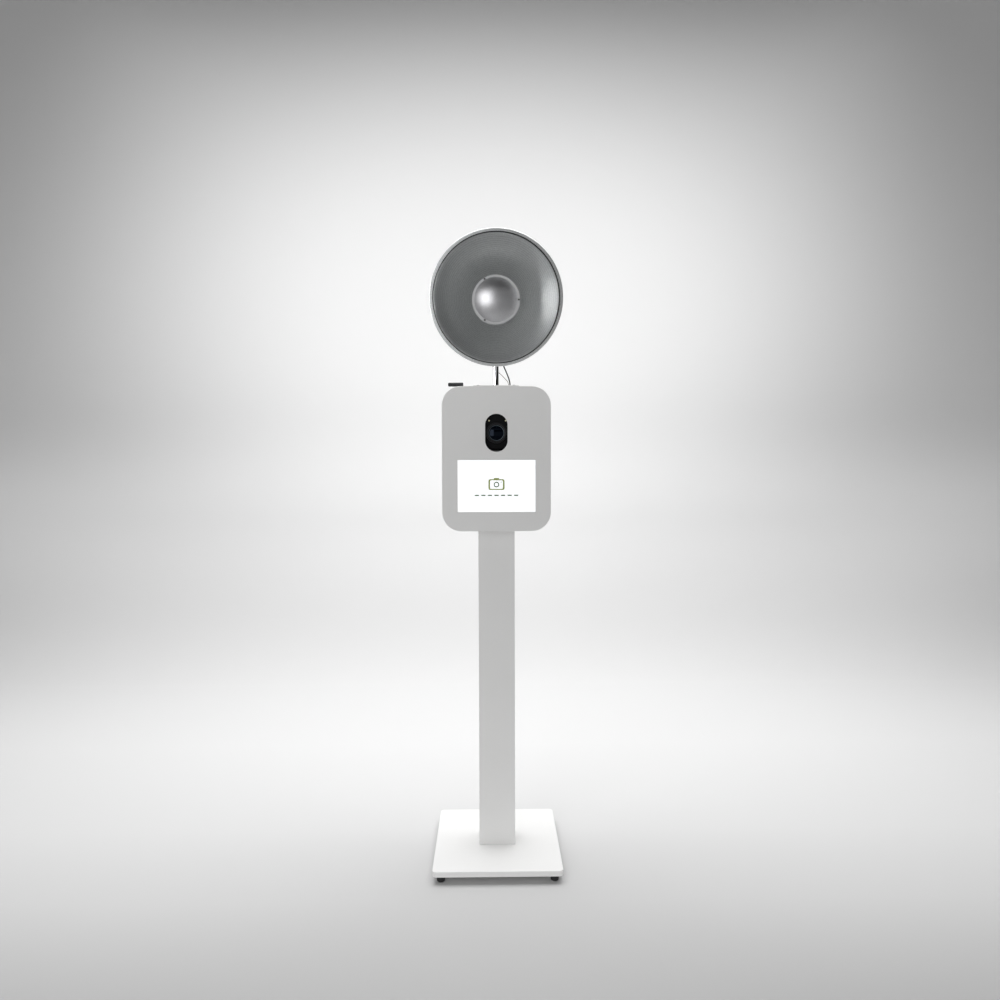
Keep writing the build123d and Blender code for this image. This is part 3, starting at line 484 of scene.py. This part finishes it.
def ink(name, colour):
    m, tree, bsdf = node_material(name)
    drift = noise(tree, 60.0, 2.0)
    tint = ramp(tree, drift.outputs["Fac"], shade(colour, 0.92), shade(colour, 1.05))
    tree.links.new(tint.outputs["Color"], bsdf.inputs["Base Color"])
    tree.links.new(tint.outputs["Color"], bsdf.inputs["Emission Color"])
    bsdf.inputs["Emission Strength"].default_value = 0.1
    bsdf.inputs["Roughness"].default_value = 0.4
    return m


olive = ink("screen_olive", (0.34, 0.40, 0.13))
green = ink("screen_green", (0.16, 0.25, 0.15))
faint = ink("screen_faint", (0.40, 0.50, 0.38))
# name, centre (x, z), width, height, corner radius, ink, hole as a share of the outline
PICTURE = [
    ("screen_frame", (0.0, PICTURE_Z), 0.054, 0.036, 0.006, olive, 0.80),
    ("screen_ring", (0.0, PICTURE_Z), 0.0190, 0.0190, 0.0095, green, 0.62),
    ("screen_bump", (0.0, 1.3252), 0.018, 0.0040, 0.0018, olive, 0.0),
    ("screen_dot", (0.0160, 1.3130), 0.0040, 0.0040, 0.0020, faint, 0.0),
]
PICTURE += [(f"screen_dash_{k}", (-0.066 + 0.022 * k, 1.2692), 0.015, 0.0044, 0.0022, green, 0.0)
            for k in range(7)]
INK_THICK = 0.00025
for name, centre, width, height, radius, material, hole in PICTURE:
    rounded_bar(name, centre, width, height, radius, SCREEN_Y, INK_THICK, material, hole)


# ---------------------------------------------------------------- studio
WHITE = 0.72
AIR = 0.37
# Painted light: emission lobes on the back wall stand in for pools of lamp light
# place, size, core as a share of the size, power
PAINTED_GLOWS = (
    ((-0.05, 3.0, 2.65), (4.2, 20.0, 2.75), 0.10, 0.36),
    ((0.0, 3.0, 1.00), (9.0, 20.0, 0.98), 0.05, 0.15),
)


def painted_glow_lobe(tree, coords, at, size, core, power):
    """Oval patch of painted light on the wall, fading smoothly from its core to its edge."""
    squeeze = tree.nodes.new("ShaderNodeMapping")
    squeeze.vector_type = "TEXTURE"
    squeeze.inputs["Location"].default_value = at
    squeeze.inputs["Scale"].default_value = size
    tree.links.new(coords.outputs["Object"], squeeze.inputs["Vector"])
    far = tree.nodes.new("ShaderNodeVectorMath")
    far.operation = "LENGTH"
    tree.links.new(squeeze.outputs["Vector"], far.inputs[0])
    fade = tree.nodes.new("ShaderNodeMapRange")
    fade.interpolation_type = "SMOOTHERSTEP"
    fade.inputs["From Min"].default_value = core
    fade.inputs["From Max"].default_value = 1.0
    fade.inputs["To Min"].default_value = power
    fade.inputs["To Max"].default_value = 0.0
    tree.links.new(far.outputs["Value"], fade.inputs["Value"])
    return fade.outputs["Result"]


def studio_paint():
    """Matt sweep with painted shade that darkens its floor towards the camera, and two soft glows of
    painted light on the wall.
    """
    m, tree, bsdf = node_material("studio_white")
    bsdf.inputs["Roughness"].default_value = 0.9
    bsdf.inputs["Specular IOR Level"].default_value = 0.1
    coords = tree.nodes.new("ShaderNodeTexCoord")
    place = tree.nodes.new("ShaderNodeSeparateXYZ")
    tree.links.new(coords.outputs["Object"], place.inputs["Vector"])
    # Painted shade: the floor's base colour darkens from white to grey towards the camera
    near = tree.nodes.new("ShaderNodeMapRange")
    near.inputs["From Min"].default_value = -1.10
    near.inputs["From Max"].default_value = 1.00
    tree.links.new(place.outputs["Y"], near.inputs["Value"])
    floor = ramp(tree, near.outputs["Result"], grey(0.32), grey(WHITE), 0.0, 1.0)
    for at, value in ((0.2, 0.45), (0.39, 0.58), (0.60, 0.66)):
        floor.color_ramp.elements.new(at).color = grey(value)
    tree.links.new(floor.outputs["Color"], bsdf.inputs["Base Color"])
    # Painted light: the wall glows are summed into the sweep's emission
    total = tree.nodes.new("ShaderNodeMath")
    for k, (at, size, core, power) in enumerate(PAINTED_GLOWS):
        tree.links.new(painted_glow_lobe(tree, coords, at, size, core, power), total.inputs[k])
    bsdf.inputs["Emission Color"].default_value = (1.0, 1.0, 1.0, 1.0)
    tree.links.new(total.outputs["Value"], bsdf.inputs["Emission Strength"])
    return m


def sweep_backdrop():
    """Floor that curves up into a back wall."""
    front, back, wall_top, half_width, radius = -6.0, 3.0, 6.5, 7.0, 1.0
    profile = [(front, 0.0)]
    profile += [(back - radius + radius * sin(a), radius - radius * cos(a))
                for a in (pi / 2 * k / 24 for k in range(25))]
    profile.append((back, wall_top))
    bm = bmesh.new()
    rows = [[bm.verts.new((x, y, z)) for y, z in profile] for x in (-half_width, half_width)]
    for k in range(len(profile) - 1):
        face = bm.faces.new((rows[0][k], rows[1][k], rows[1][k + 1], rows[0][k + 1]))
        face.smooth = True
    bm.normal_update()
    obj = add_object("studio_sweep", bm)
    obj.data.materials.append(studio_paint())


def dark_flag(name, reach, bottom, top, left, right):
    """Black card curved round the mast. Only mirror rays see it, so it darkens polished metal."""
    bm = bmesh.new()
    steps = 24
    turns = [radians(left + (right - left) * k / steps) for k in range(steps + 1)]
    rows = [
        [bm.verts.new((reach * sin(a), COLUMN_Y - reach * cos(a), z)) for a in turns]
        for z in (bottom, top)
    ]
    for k in range(steps):
        bm.faces.new((rows[0][k], rows[0][k + 1], rows[1][k + 1], rows[1][k]))
    obj = add_object(name, bm)
    obj.data.materials.append(MATERIALS["black_and_painted_shade"])
    obj.visible_camera = obj.visible_diffuse = obj.visible_shadow = obj.visible_transmission = False


def soft_light(name, place, target, size, power, tall=None, spread=180.0, mirrored=True):
    data = bpy.data.lights.new(name, "AREA")
    data.shape = "RECTANGLE"
    data.size, data.size_y = size, tall or size
    data.energy = power
    data.spread = radians(spread)
    obj = bpy.data.objects.new(name, data)
    scene.collection.objects.link(obj)
    obj.location = place
    obj.rotation_euler = (Vector(target) - Vector(place)).to_track_quat("-Z", "Y").to_euler()
    obj.visible_glossy = mirrored


def sky():
    world = bpy.data.worlds.new("studio_air")
    world.use_nodes = True
    tree = world.node_tree
    tree.nodes["Background"].inputs["Color"].default_value = (0.82, 0.82, 0.82, 1.0)
    tree.nodes["Background"].inputs["Strength"].default_value = AIR
    scene.world = world


sweep_backdrop()
sky()
soft_light("overhead", (0.0, 0.9, 5.4), (0.0, 0.9, 0.0), size=6.0, power=134.0, tall=3.0,
           spread=112.0)
soft_light("low_fill", (0.0, -1.5, 0.35), (0.0, 0.0, 0.5), size=0.9, power=2.6, tall=0.4,
           mirrored=False)
soft_light("left_window", (-1.58, -2.76, 1.70), (0.0, 0.0, 1.5), size=1.8, power=22.5, tall=1.9)
soft_light("side_window", (-3.0, -0.74, 2.15), (0.2, -0.18, 1.96), size=0.50, power=0.75,
           tall=0.80, spread=16.0)
dark_flag("front_flag", reach=2.0, bottom=1.80, top=2.18, left=-14.0, right=100.0)
dark_flag("top_flag", reach=2.4, bottom=2.75, top=5.0, left=-70.0, right=70.0)
dark_flag("left_flag", reach=2.0, bottom=1.80, top=2.18, left=-150.0, right=-88.0)
scene.view_settings.view_transform = "Standard"
